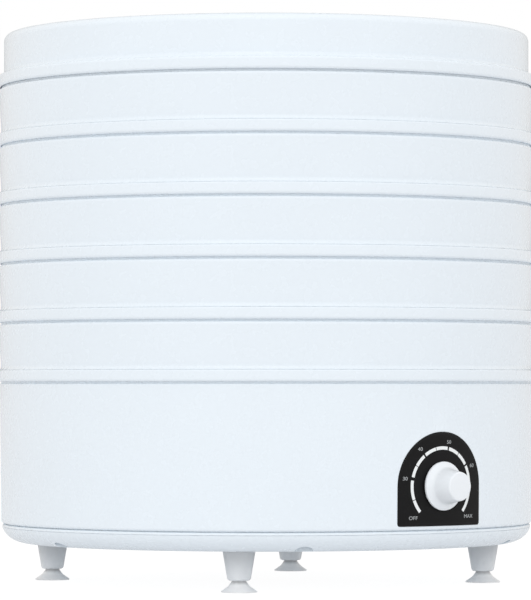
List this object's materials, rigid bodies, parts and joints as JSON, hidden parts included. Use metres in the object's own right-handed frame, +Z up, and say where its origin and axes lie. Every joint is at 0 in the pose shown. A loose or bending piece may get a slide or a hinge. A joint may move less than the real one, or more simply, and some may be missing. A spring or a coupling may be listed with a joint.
{
  "type": "food dehydrator",
  "caption": "Round electric food dehydrator: stacked lift-off drying trays and a vented lid on a blower base with a temperature dial and suction feet.",
  "frame": {"origin": "on the surface it stands on, under the centre of the round body", "axes": "+Z up through the stack, front towards -Y, the dial on the front right, +X to the right"},
  "size_m": [0.39, 0.39, 0.3955],
  "materials": {
    "white_plastic": "semi-gloss moulded white with a cool tint",
    "grid_plastic": "satin moulded white",
    "clear_plastic": "milky translucent, glossy",
    "silicone": "milky translucent silicone",
    "black_plastic": "satin black with white printed scale",
    "knob_plastic": "semi-gloss white",
    "bright_steel": "bright turned",
    "phenolic": "dull dark brown",
    "bush_rubber": "matt pale grey",
    "sheet_steel": "galvanised sheet",
    "heater_sheath": "heat-darkened sheath",
    "fan_plastic": "satin black",
    "rotor_aluminium": "cast and turned",
    "lamination_steel": "blued laminations",
    "copper_winding": "enamelled wire",
    "terminal_plastic": "natural nylon",
    "screw_steel": "zinc plated"
  },
  "bodies": {
    "base": {"air_grille": "grid_plastic", "base_housing": "white_plastic", "bottom_pan": "white_plastic", "bracket_screws": "screw_steel", "case_screws": "screw_steel", "cord_bush": "bush_rubber", "dial_plate": "black_plastic", "grille_nuts": "screw_steel", "grille_screws": "screw_steel", "heat_shield": "sheet_steel", "heater_clips": "sheet_steel", "heater_element": "heater_sheath", "leg_1": "clear_plastic", "leg_2": "clear_plastic", "leg_3": "clear_plastic", "leg_4": "clear_plastic", "leg_screws": "screw_steel", "motor_bracket": "sheet_steel", "motor_coil": "copper_winding", "motor_lower_bearing": "sheet_steel", "motor_screws": "screw_steel", "motor_stator": "lamination_steel", "motor_upper_bearing": "sheet_steel", "suction_cup_1": "silicone", "suction_cup_2": "silicone", "suction_cup_3": "silicone", "suction_cup_4": "silicone", "terminal_block": "terminal_plastic", "thermal_fuse": "bright_steel", "thermostat_body": "phenolic", "thermostat_nut": "bright_steel"},
    "blower": {"fan_impeller": "fan_plastic", "fan_retainer": "bright_steel", "motor_shaft": "bright_steel", "motor_rotor": "rotor_aluminium"},
    "control": {"knob": "knob_plastic", "thermostat_shaft": "bright_steel"},
    "tray_5": {"tray_5_ring": "white_plastic", "tray_5_grid": "grid_plastic"},
    "tray_4": {"tray_4_ring": "white_plastic", "tray_4_grid": "grid_plastic"},
    "tray_3": {"tray_3_ring": "white_plastic", "tray_3_grid": "grid_plastic"},
    "tray_2": {"tray_2_ring": "white_plastic", "tray_2_grid": "grid_plastic"},
    "tray_1": {"tray_1_ring": "white_plastic", "tray_1_grid": "grid_plastic"},
    "cover": {"lid": "white_plastic"}
  },
  "joints": [
    {"name": "fan_spin", "type": "hinge", "parent": "base", "child": "blower", "pos_m": [0, 0, 0.06], "axis": [0, 0, 1], "continuous": true},
    {"name": "knob_turn", "type": "hinge", "parent": "base", "child": "control", "pos_m": [0.12097, -0.14939, 0.0727], "axis": [-0.6293, 0.7771, 0], "range_deg": [0, 262]},
    {"name": "tray_5_lift", "type": "slide", "parent": "base", "child": "tray_5", "axis": [0, 0, 1], "range_m": [0, 0.08]},
    {"name": "tray_4_lift", "type": "slide", "parent": "tray_5", "child": "tray_4", "axis": [0, 0, 1], "range_m": [0, 0.08]},
    {"name": "tray_3_lift", "type": "slide", "parent": "tray_4", "child": "tray_3", "axis": [0, 0, 1], "range_m": [0, 0.08]},
    {"name": "tray_2_lift", "type": "slide", "parent": "tray_3", "child": "tray_2", "axis": [0, 0, 1], "range_m": [0, 0.08]},
    {"name": "tray_1_lift", "type": "slide", "parent": "tray_2", "child": "tray_1", "axis": [0, 0, 1], "range_m": [0, 0.08]},
    {"name": "lid_lift", "type": "slide", "parent": "tray_1", "child": "cover", "axis": [0, 0, 1], "range_m": [0, 0.08]}
  ]
}
